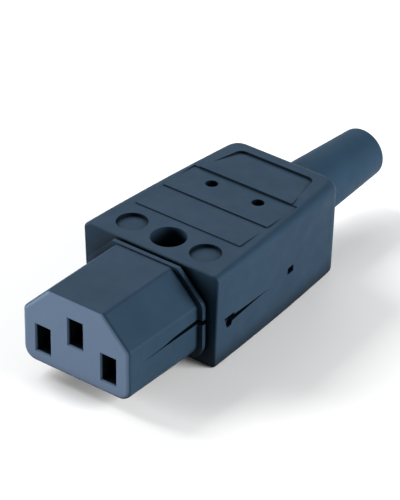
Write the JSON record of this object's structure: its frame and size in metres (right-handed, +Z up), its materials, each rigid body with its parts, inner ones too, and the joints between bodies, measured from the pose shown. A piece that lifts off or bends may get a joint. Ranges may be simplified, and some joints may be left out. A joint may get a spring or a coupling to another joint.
{
  "type": "rewireable c13 power connector",
  "caption": "Rewireable straight C13 cable connector: keyed nose with pin slots, grip body in screwed half shells, screw terminals, cord grip and bend sleeve.",
  "frame": {"origin": "centre of the mating face, on the axis of the line and neutral contacts", "axes": "+Z up to the keyed side, +Y back towards the cable, +X right as seen when facing the slots"},
  "size_m": [0.0288, 0.081, 0.0186],
  "materials": {
    "shell_plastic": "satin with a fine moulded grain",
    "sleeve_rubber": "satin, flexible",
    "bar_plastic": "satin",
    "contact_brass": "stamped sheet",
    "spring_steel": "bright strip",
    "screw_steel": "zinc plated"
  },
  "bodies": {
    "root": {"upper_shell": "shell_plastic", "lower_shell": "shell_plastic", "contact_line": "contact_brass", "contact_neutral": "contact_brass", "contact_earth": "contact_brass", "spring_line": "spring_steel", "spring_neutral": "spring_steel", "spring_earth": "spring_steel", "clamp_washer_line": "contact_brass", "clamp_washer_neutral": "contact_brass", "clamp_washer_earth": "contact_brass", "terminal_screw_line": "screw_steel", "terminal_screw_neutral": "screw_steel", "terminal_screw_earth": "screw_steel", "cord_grip_bar": "bar_plastic", "cord_grip_screw_left": "screw_steel", "cord_grip_screw_right": "screw_steel", "housing_screw": "screw_steel", "housing_nut": "screw_steel", "bend_sleeve": "sleeve_rubber"}
  },
  "joints": []
}
